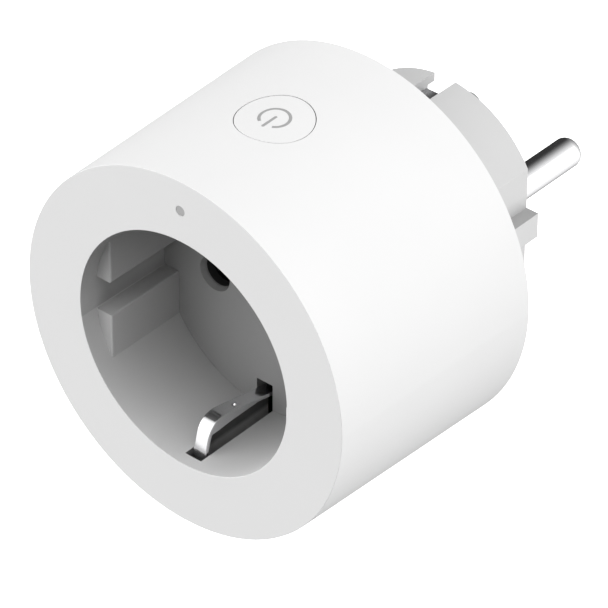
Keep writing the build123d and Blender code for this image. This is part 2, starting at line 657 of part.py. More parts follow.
ON_BOARD_Y = MAIN_BOARD_BACK_Y + SLIP
with BuildPart() as transformer_base:
    block((4.6, 14.4), (ON_BOARD_Y, ON_BOARD_Y + 1.2), (8.6, 20.4))
    chamfer(transformer_base.edges().filter_by(Axis.Y), 0.6)
save(transformer_base, "transformer_base")

with BuildPart() as transformer_core:
    block((4.6, 14.4), (ON_BOARD_Y + 3.2, ON_BOARD_Y + 8.2), (8.6, 20.4))
    # a window on each side of the centre leg
    block((6.5, 8.0), (ON_BOARD_Y, ON_BOARD_Y + 11), (11.0, 18.0), mode=Mode.SUBTRACT)
    block((11.0, 12.5), (ON_BOARD_Y, ON_BOARD_Y + 11), (11.0, 18.0), mode=Mode.SUBTRACT)
save(transformer_core, "transformer_core")

with BuildPart() as transformer_winding:
    block((6.6, 12.4), (ON_BOARD_Y + 1.3, ON_BOARD_Y + 10.1), (11.1, 17.9))
    fillet(transformer_winding.edges().filter_by(Axis.Z), 0.9)
    block((7.9, 11.1), (ON_BOARD_Y + 3.1, ON_BOARD_Y + 8.3), (11.0, 18.0), mode=Mode.SUBTRACT)
save(transformer_winding, "transformer_winding")

with BuildPart() as bulk_capacitor:
    disc(4.0, ON_BOARD_Y, ON_BOARD_Y + 11.0, x=-9.2, z=13.2)
    capacitor_rims = bulk_capacitor.edges().filter_by(GeomType.CIRCLE)
    fillet(capacitor_rims, 0.5)
    # crimp groove near the board
    with BuildSketch(Plane(origin=(-9.2, 0, 13.2), x_dir=(1, 0, 0), z_dir=(0, 0, 1))):
        with Locations((4.1, ON_BOARD_Y + 1.8)):
            Circle(0.4)
    revolve(axis=Axis((-9.2, 0, 13.2), (0, 1, 0)), mode=Mode.SUBTRACT)
save(bulk_capacitor, "bulk_capacitor")

with BuildPart() as filter_capacitor:
    block((-14.6, -4.6), (ON_BOARD_Y, ON_BOARD_Y + 10.2), (-19.0, -13.4))
    fillet(filter_capacitor.edges(), 0.5)
save(filter_capacitor, "filter_capacitor")

with BuildPart() as varistor:
    with BuildSketch(Plane(origin=(8.8, ON_BOARD_Y + 4.8, -16.6))):
        Circle(4.2)
    extrude(amount=3.4)
    fillet(varistor.edges().filter_by(GeomType.CIRCLE), 1.2)
save(varistor, "varistor")

with BuildPart() as fuse_resistor:
    with BuildSketch(Plane(origin=(23.2, ON_BOARD_Y + 1.75, -4.6))):
        Circle(1.7)
    extrude(amount=9.2)
    fillet(fuse_resistor.edges().filter_by(GeomType.CIRCLE), 0.6)
save(fuse_resistor, "fuse_resistor")

CHIPS = (
    ("rectifier", (6.6, 11.4), 2.4, (-22.6, -19.0)),
    ("power_chip", (-11.4, -6.4), 1.5, (-23.6, -19.8)),
    ("metering_chip", (-25.2, -21.4), 1.5, (-2.5, 2.5)),
)
for name, x_range, height, z_range in CHIPS:
    with BuildPart() as chip:
        block(x_range, (ON_BOARD_Y, ON_BOARD_Y + height), z_range)
        chamfer(chip.faces().sort_by(Axis.Y)[-1].edges(), 0.3)
    save(chip, name)

with BuildPart() as radio_module:
    block((-15.0, -6.0), (MAIN_BOARD_Y - SLIP - 0.8, MAIN_BOARD_Y - SLIP), (13.6, 21.4))
save(radio_module, "radio_module")

with BuildPart() as radio_shield:
    shield_y = MAIN_BOARD_Y - 2 * SLIP - 0.8
    block((-14.0, -7.0), (shield_y - 1.6, shield_y), (14.0, 19.6))
    fillet(radio_shield.edges().filter_by(Axis.Y), 0.5)
    block((-13.7, -7.3), (shield_y - 1.3, shield_y), (14.3, 19.3), mode=Mode.SUBTRACT)
save(radio_shield, "radio_shield")

with BuildPart() as link_wires:
    for x, z in ((-9.5, -9.5), (-7.0, -11.4), (7.0, -11.4), (9.5, -9.5)):
        disc(0.45, MAIN_BOARD_BACK_Y + SLIP, POWER_BOARD_Y - SLIP, x=x, z=z)
save(link_wires, "link_wires")

# ---------------------------------------------------------------- button, switch and indicator
with BuildPart() as button_board:
    block((-6.2, 6.2), (-50.4, MAIN_BOARD_Y - 0.3), (BUTTON_BOARD_Z, BUTTON_BOARD_TOP_Z))
save(button_board, "button_board")

with BuildPart() as board_pins:
    for x in BOARD_PIN_X:
        disc(0.32, -37.5, MAIN_BOARD_BACK_Y + 1.0, x=x, z=BOARD_PIN_Z)
save(board_pins, "board_pins")

SWITCH_TOP_Z = 25.3
PLUNGER_R = 1.65
with BuildPart() as tact_switch_body:
    block((-3, 3), (BUTTON_Y - 3, BUTTON_Y + 3), (BUTTON_BOARD_TOP_Z + SLIP, SWITCH_TOP_Z))
    fillet(tact_switch_body.edges().filter_by(Axis.Z), 0.4)
    with BuildSketch(Plane(origin=(0, BUTTON_Y, SWITCH_TOP_Z - 1.3))):
        Circle(PLUNGER_R + 0.15)
    extrude(amount=2, mode=Mode.SUBTRACT)
save(tact_switch_body, "tact_switch_body")

with BuildPart() as tact_switch_cover:
    block((-3, 3), (BUTTON_Y - 3, BUTTON_Y + 3), (SWITCH_TOP_Z + 0.02, SWITCH_TOP_Z + 0.3))
    with BuildSketch(Plane(origin=(0, BUTTON_Y, SWITCH_TOP_Z - 1))):
        Circle(PLUNGER_R + 0.15)
    extrude(amount=3, mode=Mode.SUBTRACT)
save(tact_switch_cover, "tact_switch_cover")

PLUNGER_TOP_Z = 26.9
with BuildPart() as tact_plunger:
    with BuildSketch(Plane(origin=(0, BUTTON_Y, SWITCH_TOP_Z - 0.8))):
        Circle(PLUNGER_R)
    extrude(amount=PLUNGER_TOP_Z - SWITCH_TOP_Z + 0.8)
    chamfer(tact_plunger.edges().sort_by(Axis.Z)[-1], 0.2)
save(tact_plunger, "tact_plunger")

BUTTON_RIM_Z = 27.1
SYMBOL_R = 2.22
SYMBOL_LINE = 0.48
SYMBOL_BAR = 3.2
SYMBOL_BAR_MIDDLE = -1.15
SYMBOL_DEPTH = 0.15
# Three solids that only shape the button: the body's outer form, the same form as deep as the engraving,
# and the symbol to cut.
with BuildPart() as body_envelope:
    with BuildSketch(Plane.XY):
        with BuildLine():
            Polyline((0, FACE_Y), (FRONT_R, FACE_Y), (BACK_R, BACK_Y), (0, BACK_Y), close=True)
        make_face()
    revolve(axis=Axis.Y)

with BuildPart() as symbol_floor:
    add(offset(body_envelope.part, amount=-SYMBOL_DEPTH, mode=Mode.PRIVATE))

with BuildPart() as symbol_cutter:
    # generic power symbol: a ring, open towards the front, and a bar that stands in its gap
    with BuildSketch(Plane(origin=(0, BUTTON_Y, CUP_R))):
        Circle(SYMBOL_R + SYMBOL_LINE / 2)
        Circle(SYMBOL_R - SYMBOL_LINE / 2, mode=Mode.SUBTRACT)
        with BuildLine():
            Polyline((0, 0), (-2.4, -4), (2.4, -4), close=True)
        make_face(mode=Mode.SUBTRACT)
        with Locations((0, SYMBOL_BAR_MIDDLE)):
            SlotOverall(SYMBOL_BAR, SYMBOL_LINE, rotation=90)
    extrude(amount=12)
    add(symbol_floor.part, mode=Mode.SUBTRACT)

with BuildPart() as button_cap:
    # the top follows the tapered side of the body
    with BuildSketch(Plane(origin=(0, BUTTON_Y, BUTTON_RIM_Z))):
        Circle(BUTTON_R)
    extrude(amount=8)
    add(body_envelope.part, mode=Mode.INTERSECT)
    fillet(button_cap.edges().group_by(Axis.Z)[-1], BUTTON_EDGE)
    # rim that keeps the cap in the shell
    with BuildSketch(Plane(origin=(0, BUTTON_Y, BUTTON_RIM_Z - 0.8))):
        Circle(BUTTON_R + 0.8)
    extrude(amount=0.8)
    # hollow underside with a central stem
    with BuildSketch(Plane(origin=(0, BUTTON_Y, BUTTON_RIM_Z - 0.8))):
        Circle(BUTTON_R - 0.9)
        Circle(1.5, mode=Mode.SUBTRACT)
    extrude(amount=2.2, mode=Mode.SUBTRACT)
    with BuildSketch(Plane(origin=(0, BUTTON_Y, BUTTON_RIM_Z - 0.8))):
        Circle(1.6)
    extrude(amount=PLUNGER_TOP_Z + SLIP - BUTTON_RIM_Z + 0.8, mode=Mode.SUBTRACT)
    add(symbol_cutter.part, mode=Mode.SUBTRACT)
save(button_cap, "button_cap")

with BuildPart() as status_led:
    block((-1.5, 1.5), (-50.2, -49.0), (BUTTON_BOARD_TOP_Z + SLIP, 25.6))
    chamfer(status_led.edges().filter_by(Axis.X).group_by(Axis.Z)[-1], 0.2)
save(status_led, "status_led")

with BuildPart() as light_pipe:
    disc(INDICATOR_R, FACE_Y + 0.05, -50.4, z=INDICATOR_Z)
    disc(1.3, CUP_Y + SLIP, CUP_Y + 1.2, z=INDICATOR_Z)
save(light_pipe, "light_pipe")
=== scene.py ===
"""Looks of the smart plug: materials, fine pieces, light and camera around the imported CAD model.

Metres, in the CAD model's frame: +Z up through the button, the socket faces -Y, and the pins
point along +Y. Named sizes are in millimetres unless they say otherwise.
"""

import json
import math

import bmesh
import bpy
from mathutils import Matrix, Vector


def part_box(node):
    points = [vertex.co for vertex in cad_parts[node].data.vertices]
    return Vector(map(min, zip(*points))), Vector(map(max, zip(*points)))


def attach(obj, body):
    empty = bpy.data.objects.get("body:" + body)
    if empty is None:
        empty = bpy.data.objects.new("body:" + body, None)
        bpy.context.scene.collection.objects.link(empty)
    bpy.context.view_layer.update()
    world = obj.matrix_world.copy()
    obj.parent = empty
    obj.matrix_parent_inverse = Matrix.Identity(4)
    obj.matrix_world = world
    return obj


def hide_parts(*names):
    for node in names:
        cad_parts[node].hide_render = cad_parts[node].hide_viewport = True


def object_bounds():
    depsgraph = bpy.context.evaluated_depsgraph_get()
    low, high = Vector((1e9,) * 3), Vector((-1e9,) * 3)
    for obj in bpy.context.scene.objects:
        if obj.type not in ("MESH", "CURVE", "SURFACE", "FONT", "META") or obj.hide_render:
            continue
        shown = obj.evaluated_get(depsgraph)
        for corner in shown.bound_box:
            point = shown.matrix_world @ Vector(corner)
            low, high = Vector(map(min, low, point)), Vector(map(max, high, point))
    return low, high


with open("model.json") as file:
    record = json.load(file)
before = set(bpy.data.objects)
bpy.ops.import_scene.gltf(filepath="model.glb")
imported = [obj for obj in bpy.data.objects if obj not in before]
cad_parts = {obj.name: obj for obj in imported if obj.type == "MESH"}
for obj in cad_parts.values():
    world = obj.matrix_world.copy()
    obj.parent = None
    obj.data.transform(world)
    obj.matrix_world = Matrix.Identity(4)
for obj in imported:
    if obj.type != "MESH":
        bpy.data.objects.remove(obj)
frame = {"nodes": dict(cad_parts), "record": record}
CAD_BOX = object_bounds()
NODES = frame["nodes"]
MM = 0.001
TAU = 2 * math.pi

# Sizes of the CAD model that the looks follow.
FACE_Y = CAD_BOX[0][1] / MM
FRONT_R = 29.6
BODY_LENGTH = 39.8
SIDE_TAPER = (CAD_BOX[1][0] / MM - FRONT_R) / BODY_LENGTH
RING_DEPTH = 2.1
RECESS_R = 19.5
RECESS_DEPTH = 17.7
SLOT_HALF_WIDTH = 1.53
SLOT_FLOOR_Z = 14.75
BASE_FLAT_X = 15.8
BASE_RIB_X = 18.0
BASE_RIB_HALF = 2.1
GROOVE_X = 15.6             # the gap between two guide pads lies beyond this
GROOVE_HALF = 2.6


# ---------------------------------------------------------------- camera
CAMERA_AZIMUTH = 40.60      # degrees, from the front (-Y) towards +X
CAMERA_ELEVATION = 36.01
CAMERA_ROLL = 0.24
CAMERA_DISTANCE = 703.08 * MM
CAMERA_OFFSET = (17.184 * MM, 7.160 * MM)   # sideways and up from the middle of the front face
CAMERA_LENS = 295.4
CAMERA_SENSOR = 36


def add_camera():
    """A long lens at the viewing angle, aimed past the middle of the front face."""
    azimuth = math.radians(CAMERA_AZIMUTH)
    elevation = math.radians(CAMERA_ELEVATION)
    roll = math.radians(CAMERA_ROLL)
    back = Vector((
        math.sin(azimuth) * math.cos(elevation),
        -math.cos(azimuth) * math.cos(elevation),
        math.sin(elevation),
    ))
    level_right = Vector((math.cos(azimuth), math.sin(azimuth), 0))
    level_up = back.cross(level_right)
    right = level_right * math.cos(roll) + level_up * math.sin(roll)
    up = level_up * math.cos(roll) - level_right * math.sin(roll)
    face = Vector((0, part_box("front_shell")[0].y, 0))
    data = bpy.data.cameras.new("camera")
    data.lens = CAMERA_LENS
    data.sensor_width = CAMERA_SENSOR
    data.clip_start = 0.01
    camera = bpy.data.objects.new("camera", data)
    bpy.context.scene.collection.objects.link(camera)
    camera.matrix_world = Matrix((
        (right.x, up.x, back.x, 0),
        (right.y, up.y, back.y, 0),
        (right.z, up.z, back.z, 0),
        (0, 0, 0, 1),
    ))
    sideways, upwards = CAMERA_OFFSET
    camera.location = face + right * sideways + up * upwards + back * CAMERA_DISTANCE
    bpy.context.scene.camera = camera


# ---------------------------------------------------------------- light and floor
# Broad soft lights, each the direction it comes from and its strength.
SKY_LIGHTS = (
    ((1, 1, 1), 1.75),
    ((0, -1, 1), 1.48),
    ((-1, 0, 0), 1.25),
    ((-1, -1, 0), 1.16),
    ((1, 1, -1), 1.14),
    ((1, 0, 0), 0.56),
    ((-1, 1, 1), 0.22),
)
SKY_FALLOFF = 3.0           # power of the cosine by which each of them fades


def add_sky():
    """Surroundings that hold the soft lights, so that metal mirrors them as smooth patches."""
    world = bpy.data.worlds.new("studio")
    world.use_nodes = True
    tree = world.node_tree
    background = tree.nodes["Background"]
    background.inputs["Color"].default_value = (1, 1, 1, 1)
    direction = tree.nodes.new("ShaderNodeTexCoord").outputs["Generated"]
    total = None
    for towards, strength in SKY_LIGHTS:
        facing = tree.nodes.new("ShaderNodeVectorMath")
        facing.operation = "DOT_PRODUCT"
        facing.inputs[1].default_value = Vector(towards).normalized()
        tree.links.new(direction, facing.inputs[0])
        value = facing.outputs["Value"]
        steps = (("MAXIMUM", 0.0), ("POWER", SKY_FALLOFF), ("MULTIPLY", strength))
        for operation, operand in steps:
            step = tree.nodes.new("ShaderNodeMath")
            step.operation = operation
            step.inputs[1].default_value = operand
            tree.links.new(value, step.inputs[0])
            value = step.outputs[0]
        if total is not None:
            join = tree.nodes.new("ShaderNodeMath")
            tree.links.new(total, join.inputs[0])
            tree.links.new(value, join.inputs[1])
            value = join.outputs[0]
        total = value
    tree.links.new(total, background.inputs["Strength"])
    bpy.context.scene.world = world


# The floor and the wall round it, in metres.
FLOOR_DROP = 0.35           # from the part down to the floor
FLOOR_R = 2.0
COVE_R = 1.5                # of the curve from the floor up into the wall
COVE_TURNS = tuple(0.2 * k for k in range(1, 8))    # radians up that curve
WALL_TOP = 4.0
FLOOR_SIDES = 48
FLOOR_WHITE = 0.95
FLOOR_GLOW = 0.8            # light it gives off towards the camera


def add_floor():
    """A plain pale floor and wall in one sweep, which neither lights nor shades the part."""
    mesh = bpy.data.meshes.new("floor")
    build = bmesh.new()
    profile = [(0.0, 0.0), (FLOOR_R, 0.0)]
    for turn in COVE_TURNS:
        profile.append((FLOOR_R + COVE_R * math.sin(turn), COVE_R - COVE_R * math.cos(turn)))
    profile.append((FLOOR_R + COVE_R, WALL_TOP))
    rings = []
    for radius, height in profile:
        count = FLOOR_SIDES if radius else 1
        turns = [Matrix.Rotation(TAU * k / FLOOR_SIDES, 3, "Z") for k in range(count)]
        rings.append([build.verts.new(turn @ Vector((radius, 0, height))) for turn in turns])
    for inner, outer in zip(rings, rings[1:]):
        for k in range(FLOOR_SIDES):
            after = (k + 1) % FLOOR_SIDES
            inner_corners = inner if len(inner) == 1 else [inner[after], inner[k]]
            build.faces.new([outer[k], outer[after], *inner_corners])
    for face in build.faces:
        face.smooth = True
    build.to_mesh(mesh)
    build.free()
    floor = bpy.data.objects.new("floor", mesh)
    floor.location = (0, 0, CAD_BOX[0][2] - FLOOR_DROP)
    floor.visible_diffuse = False
    floor.visible_glossy = False
    floor.visible_shadow = False
    bpy.context.scene.collection.objects.link(floor)
    material = bpy.data.materials.new("floor")
    material.use_nodes = True
    shader = material.node_tree.nodes["Principled BSDF"]
    shader.inputs["Base Color"].default_value = (*grey(FLOOR_WHITE), 1)
    shader.inputs["Roughness"].default_value = 0.9
    shader.inputs["Emission Color"].default_value = (1, 1, 1, 1)
    shader.inputs["Emission Strength"].default_value = FLOOR_GLOW
    mesh.materials.append(material)


FLAG_RADIUS = 400           # millimetres round the part
FLAG_HEIGHTS = (-1040, -50, 1040)   # of its bottom, its step and its top
FLAG_LEFT = 157             # degrees from +X towards +Y
FLAG_RIGHTS = (98, 55)      # its other end under and over the step
FLAG_ANGLES = (128, 57)     # the card goes from black to white between these
FLAG_LIGHT = (0.03, 1.07)   # light it gives off there
FLAG_FADE = 1.25            # power of the passage between the two
FLAG_COLUMNS = 24


def add_flag():
    """A curved dark card behind the part, graded to white, that only mirrors in its metal."""
    corners, faces = [], []
    for right, low, high in zip(FLAG_RIGHTS, FLAG_HEIGHTS, FLAG_HEIGHTS[1:]):
        first = len(corners)
        for k in range(FLAG_COLUMNS + 1):
            turn = math.radians(FLAG_LEFT + (right - FLAG_LEFT) * k / FLAG_COLUMNS)
            x, y = FLAG_RADIUS * math.cos(turn), FLAG_RADIUS * math.sin(turn)
            corners += [Vector((x, y, height)) * MM for height in (low, high)]
        for k in range(first, len(corners) - 2, 2):
            faces.append((k, k + 2, k + 3, k + 1))
    mesh = bpy.data.meshes.new("flag")
    mesh.from_pydata(corners, [], faces)
    flag = bpy.data.objects.new("flag", mesh)
    for rays in ("camera", "diffuse", "transmission", "shadow"):
        setattr(flag, f"visible_{rays}", False)
    bpy.context.scene.collection.objects.link(flag)
    surface = Surface("flag", 1.0)
    surface.set("Base Color", (*grey(0.0), 1))
    surface.set("Specular IOR Level", 0.0)
    surface.set("Emission Color", (*grey(1.0), 1))
    axes = surface.axes()
    angle = surface.math("ARCTAN2", axes["Y"], axes["X"])
    fade = surface.ranged(angle, 0, 1, tuple(math.radians(a) for a in FLAG_ANGLES))
    glow = surface.ranged(surface.math("POWER", fade, FLAG_FADE), *FLAG_LIGHT)
    surface.link(glow, surface.shader.inputs["Emission Strength"])
    mesh.materials.append(surface.material)


# ---------------------------------------------------------------- material helpers
NOISE_SPAN = (0.3, 0.7)     # most of a noise texture's values lie between these
IOR = 1.46                  # of the plastics and paints


class Surface:
    """A node material under construction. Texture scales are in features per millimetre."""

    def __init__(self, name, roughness, metallic=0.0):
        self.material = bpy.data.materials.new(name)
        self.material.use_nodes = True
        self.tree = self.material.node_tree
        self.shader = self.tree.nodes["Principled BSDF"]
        self.set("Roughness", roughness)
        self.set("Metallic", metallic)
        self.set("IOR", IOR)
        coordinates = self.node("ShaderNodeTexCoord")
        to_mm = self.node("ShaderNodeVectorMath")
        to_mm.operation = "SCALE"
        to_mm.inputs["Scale"].default_value = 1 / MM
        self.link(coordinates.outputs["Object"], to_mm.inputs[0])
        self.place = to_mm.outputs[0]
        self.height = None

    def node(self, kind):
        return self.tree.nodes.new(kind)

    def link(self, source, target):
        self.tree.links.new(source, target)

    def set(self, socket, value):
        self.shader.inputs[socket].default_value = value

    def axes(self):
        """The place in the frame as three numbers in millimetres."""
        parts = self.node("ShaderNodeSeparateXYZ")
        self.link(self.place, parts.inputs[0])
        return parts.outputs

    def math(self, operation, first, second=None, third=None):
        """One step of arithmetic on numbers, each a constant or a varying value."""
        step = self.node("ShaderNodeMath")
        step.operation = operation
        for socket, value in zip(step.inputs, (first, second, third)):
            if value is None:
                continue
            if isinstance(value, (int, float)):
                socket.default_value = value
            else:
                self.link(value, socket)
        return step.outputs[0]

    def product(self, *factors):
        """Several numbers, or masks of ones and zeroes, multiplied."""
        total = factors[0]
        for factor in factors[1:]:
            total = self.math("MULTIPLY", total, factor)
        return total

    def between(self, share, first, second):
        """A number that share of the way from the first number to the second."""
        return self.math("MULTIPLY_ADD", share, self.math("SUBTRACT", second, first), first)

    def stretched(self, scales):
        """The place with its axes scaled, for grain that runs one way."""
        mapping = self.node("ShaderNodeVectorMath")
        mapping.operation = "MULTIPLY"
        mapping.inputs[1].default_value = scales
        self.link(self.place, mapping.inputs[0])
        return mapping.outputs[0]

    def noise(self, scale, detail=2.0, rough=0.5, vector=None):
        texture = self.node("ShaderNodeTexNoise")
        texture.inputs["Scale"].default_value = scale
        texture.inputs["Detail"].default_value = detail
        texture.inputs["Roughness"].default_value = rough
        self.link(vector or self.place, texture.inputs["Vector"])
        return texture.outputs["Fac"]

    def cell_edges(self, scale, vector):
        """How far a place is from the nearest edge between irregular cells."""
        texture = self.node("ShaderNodeTexVoronoi")
        texture.feature = "DISTANCE_TO_EDGE"
        texture.inputs["Scale"].default_value = scale
        self.link(vector, texture.inputs["Vector"])
        return texture.outputs["Distance"]

    def ranged(self, value, low, high, source=(0.0, 1.0)):
        """The value moved from its source range to another, and held there."""
        step = self.node("ShaderNodeMapRange")
        step.inputs["From Min"].default_value = source[0]
        step.inputs["From Max"].default_value = source[1]
        step.inputs["To Min"].default_value = low
        step.inputs["To Max"].default_value = high
        self.link(value, step.inputs["Value"])
        return step.outputs[0]

    def mixed(self, factor, first, second):
        """A colour between two colours, each a tuple or another colour."""
        step = self.node("ShaderNodeMix")
        step.data_type = "RGBA"
        self.link(factor, step.inputs[0])
        for socket, value in ((step.inputs[6], first), (step.inputs[7], second)):
            if isinstance(value, tuple):
                socket.default_value = (*value, 1)
            else:
                self.link(value, socket)
        return step.outputs[2]

    def times(self, colour, factor):
        """A colour made darker or lighter by a factor that varies over the surface."""
        step = self.node("ShaderNodeVectorMath")
        step.operation = "SCALE"
        self.link(colour, step.inputs[0])
        self.link(factor, step.inputs["Scale"])
        return step.outputs[0]

    def colour(self, value):
        if isinstance(value, tuple):
            self.set("Base Color", (*value, 1))
        else:
            self.link(value, self.shader.inputs["Base Color"])

    def roughness(self, value):
        self.link(value, self.shader.inputs["Roughness"])

    def bump(self, value, depth_mm):
        """Adds relief: the value times a depth in millimetres."""
        step = self.node("ShaderNodeBump")
        step.inputs["Distance"].default_value = depth_mm * MM
        self.link(value, step.inputs["Height"])
        if self.height is not None:
            self.link(self.height, step.inputs["Normal"])
        self.height = step.outputs["Normal"]
        self.link(self.height, self.shader.inputs["Normal"])


def grey(value):
    return (value, value, value)


def tinted(colour, factor):
    return tuple(min(1.0, c * factor) for c in colour)


# ---------------------------------------------------------------- visible plastics
SHELL_WHITE = 0.80
MOUTH_SHADED_WHITE = 0.70          # recess at its mouth, with light painted shade
DEEP_SHADED_WHITE = 0.33           # and at its floor, darker with painted shade
BASE_WHITE = 0.605
HIDDEN_SHADE = 0.16         # painted shade on plastic that only shows through slots and gaps
HOLE_SHADE = 0.03           # painted shade, near black, in the pin holes and on all that lies behind the floor
GUARD_PAINTED_LIGHT = 0.55          # painted light on the guards behind the lower slot, which get little light
GUARD_Z = (20.6, 21.4)      # distance from the axis at which hidden plastic passes into them
SYMBOL_GREY = 0.38
FLOW_MARKS = 0.015          # how far flow marks change a plastic's tone

# Factors of painted light and shade on the tone of the recess, and the places in millimetres
# between which they pass.
RECESS_SHADE = (1.06, 0.88)     # all of it, from its bottom to its top
FLOOR_SHADE = (0.79, 0.93)      # its floor, from the bottom to the middle
FLOOR_SHADE_Z = (-16, 0)
FAR_SIDE_SHADE = 0.77           # the mouth on the -X side, which faces away from most light
FAR_SIDE_X = (-RECESS_R, -8)
FAR_DEEP_SHADE = 1.08           # that side just over the floor
NEAR_SIDE_LIGHT = 1.12           # painted light on the walls on the +X side
NEAR_SIDE_X = (4, 15)
TOP_SHADE = 0.70                # the mouth in the upper part
TOP_SHADE_Z = (-2, 9)
TOP_SHADE_FADE = 1.3            # how fast that shade goes towards the floor
GROOVE_SHADE = 0.75             # between two guide pads
GROOVE_DEPTHS = (3, 5.5, 6, 14)     # it comes in between the first two and goes between the others
GROOVE_CORNER = 0.84            # painted shade along the lower corner between them

# Factors of painted light and shade on the tone of the plug base.
RIB_TOP_SHADE = 0.66            # upper and lower faces of the ribs
CORNER_SHADE = 0.86             # flats in the corner beside a rib
CORNER_REACH = 2.5              # how far the shade of a corner spreads over the flat
BASE_SIDE_LIGHT = 1.08           # painted light on the flats and rib faces
FAR_BASE_SHADE = 0.92           # the -X half
FAR_BASE_X = (-4, 4)

# Margins round the faces by which places are told apart.
NEAR = 0.02                     # a place this close to a plane counts as on it
MARGIN = 0.05                   # kept from a face that is wholly in or wholly out
SKIN = 0.09                     # deeper than this under the side, plastic counts as inside and gets painted shade
MOUTH_LIP = 0.06                # the tone of the recess reaches this far outside its wall
HOLE_LEAD = 1.15                # pin holes show their plastic this far behind the floor, and painted shade beyond


def flow_marked(surface, flow, colour):
    """A colour with faint flow marks."""
    return surface.mixed(flow, tinted(colour, 1 - FLOW_MARKS), tinted(colour, 1 + FLOW_MARKS))


def moulded_plastic(name, colour, roughness, grain=0.004):
    """Moulded plastic: fine spark-eroded grain, faint flow marks, and gloss that varies a little.

    The colour is one tuple, or a function that makes it from the surface and its flow marks.
    """
    surface = Surface(name, roughness)
    flow = surface.noise(0.07, detail=2)
    specks = surface.noise(2.2, detail=3)
    paint = colour(surface, flow) if callable(colour) else flow_marked(surface, flow, colour)
    surface.colour(paint)
    surface.roughness(surface.ranged(specks, roughness - 0.06, roughness + 0.06, NOISE_SPAN))
    surface.bump(surface.noise(7.0, detail=3, rough=0.6), grain)
    surface.bump(surface.noise(0.25, detail=1), 0.006)
    return surface


def depth_behind_face(surface, axes):
    return surface.math("SUBTRACT", axes["Y"], FACE_Y)


def groove_shade(surface, axes, depth):
    """Shade between two guide pads, which gathers in the corner over the lower one."""
    start, full, hold, end = GROOVE_DEPTHS
    along = surface.math("MAXIMUM", surface.ranged(depth, 1.0, GROOVE_SHADE, (start, full)),
                         surface.ranged(depth, GROOVE_SHADE, 1.0, (hold, end)))
    across = surface.ranged(axes["Z"], GROOVE_CORNER, 1.0, (-GROOVE_HALF, 0))
    in_groove = surface.product(
        surface.math("GREATER_THAN", surface.math("ABSOLUTE", axes["X"]), GROOVE_X),
        surface.math("LESS_THAN", surface.math("ABSOLUTE", axes["Z"]), GROOVE_HALF),
    )
    return surface.between(in_groove, 1.0, surface.product(along, across))


def recess_shade(surface, axes, depth, share):
    """Light and shade in the recess, which soft light alone would leave too even."""
    deep = surface.product(share, share)
    far = surface.ranged(axes["X"], FAR_SIDE_SHADE, 1.0, FAR_SIDE_X)
    top = surface.ranged(axes["Z"], 1.0, TOP_SHADE, TOP_SHADE_Z)
    wall = surface.product(
        surface.between(deep, far, FAR_DEEP_SHADE),
        surface.between(surface.product(deep, TOP_SHADE_FADE), top, 1.0),
        groove_shade(surface, axes, depth),
        surface.ranged(axes["X"], 1.0, NEAR_SIDE_LIGHT, NEAR_SIDE_X),
    )
    floor = surface.product(far, surface.ranged(axes["Z"], *FLOOR_SHADE, FLOOR_SHADE_Z))
    on_floor = surface.math("GREATER_THAN", depth, RECESS_DEPTH - MARGIN)
    overall = surface.ranged(axes["Z"], *RECESS_SHADE, (-RECESS_R, RECESS_R))
    return surface.product(overall, surface.between(on_floor, wall, floor))


def recess_tone(surface, flow):
    """Painted shade in the recess: paler at its mouth, darker towards its floor, and dark in slots
    and holes.
    """
    axes = surface.axes()
    depth = depth_behind_face(surface, axes)
    share = surface.ranged(depth, 0, 1, (0, RECESS_DEPTH))
    tone = surface.mixed(share, grey(MOUTH_SHADED_WHITE), grey(DEEP_SHADED_WHITE))
    marks = surface.ranged(flow, 1 - FLOW_MARKS, 1.0)
    tone = surface.times(tone, surface.product(recess_shade(surface, axes, depth, share), marks))
    height = surface.math("ABSOLUTE", axes["Z"])
    in_slot = surface.product(
        surface.math("LESS_THAN", surface.math("ABSOLUTE", axes["X"]), SLOT_HALF_WIDTH),
        surface.math("GREATER_THAN", height, SLOT_FLOOR_Z),
        surface.math("GREATER_THAN", depth, RING_DEPTH - MARGIN),
    )
    in_hole = surface.math("GREATER_THAN", depth, RECESS_DEPTH + HOLE_LEAD)
    # painted shade in the slots, passing into painted light on the guards
    hidden = surface.ranged(height, HIDDEN_SHADE, GUARD_PAINTED_LIGHT, GUARD_Z)
    tone = surface.mixed(in_hole, tone, grey(HOLE_SHADE))
    return surface.mixed(in_slot, tone, hidden)


def under_side(surface, axes, depth):
    """The distance from the axis, and a mask of what lies deeper than SKIN under the side."""
    squares = [surface.product(axes[k], axes[k]) for k in ("X", "Z")]
    radius = surface.math("SQRT", surface.math("ADD", *squares))
    skin_radius = surface.math("MULTIPLY_ADD", depth, SIDE_TAPER, FRONT_R - SKIN)
    return radius, surface.math("LESS_THAN", radius, skin_radius)


def shell_tone(surface, flow):
    """White outside, the recess's painted shade where the shell lines its mouth, and painted shade
    inside.
    """
    axes = surface.axes()
    depth = depth_behind_face(surface, axes)
    radius, under = under_side(surface, axes, depth)
    inside = surface.product(
        under,
        surface.math("GREATER_THAN", depth, RING_DEPTH - MARGIN),
        surface.math("LESS_THAN", depth, BODY_LENGTH - MARGIN),
    )
    white = flow_marked(surface, flow, grey(SHELL_WHITE))
    white = surface.mixed(inside, white, grey(HIDDEN_SHADE))
    outside = surface.math("GREATER_THAN", radius, RECESS_R + MOUTH_LIP)
    return surface.mixed(outside, recess_tone(surface, flow), white)


def button_tone(surface, flow):
    """White on top, and painted shade on the sides, which only show through the gap round the
    button.
    """
    axes = surface.axes()
    inside = under_side(surface, axes, depth_behind_face(surface, axes))[1]
    return surface.mixed(inside, flow_marked(surface, flow, grey(SHELL_WHITE)), grey(HIDDEN_SHADE))


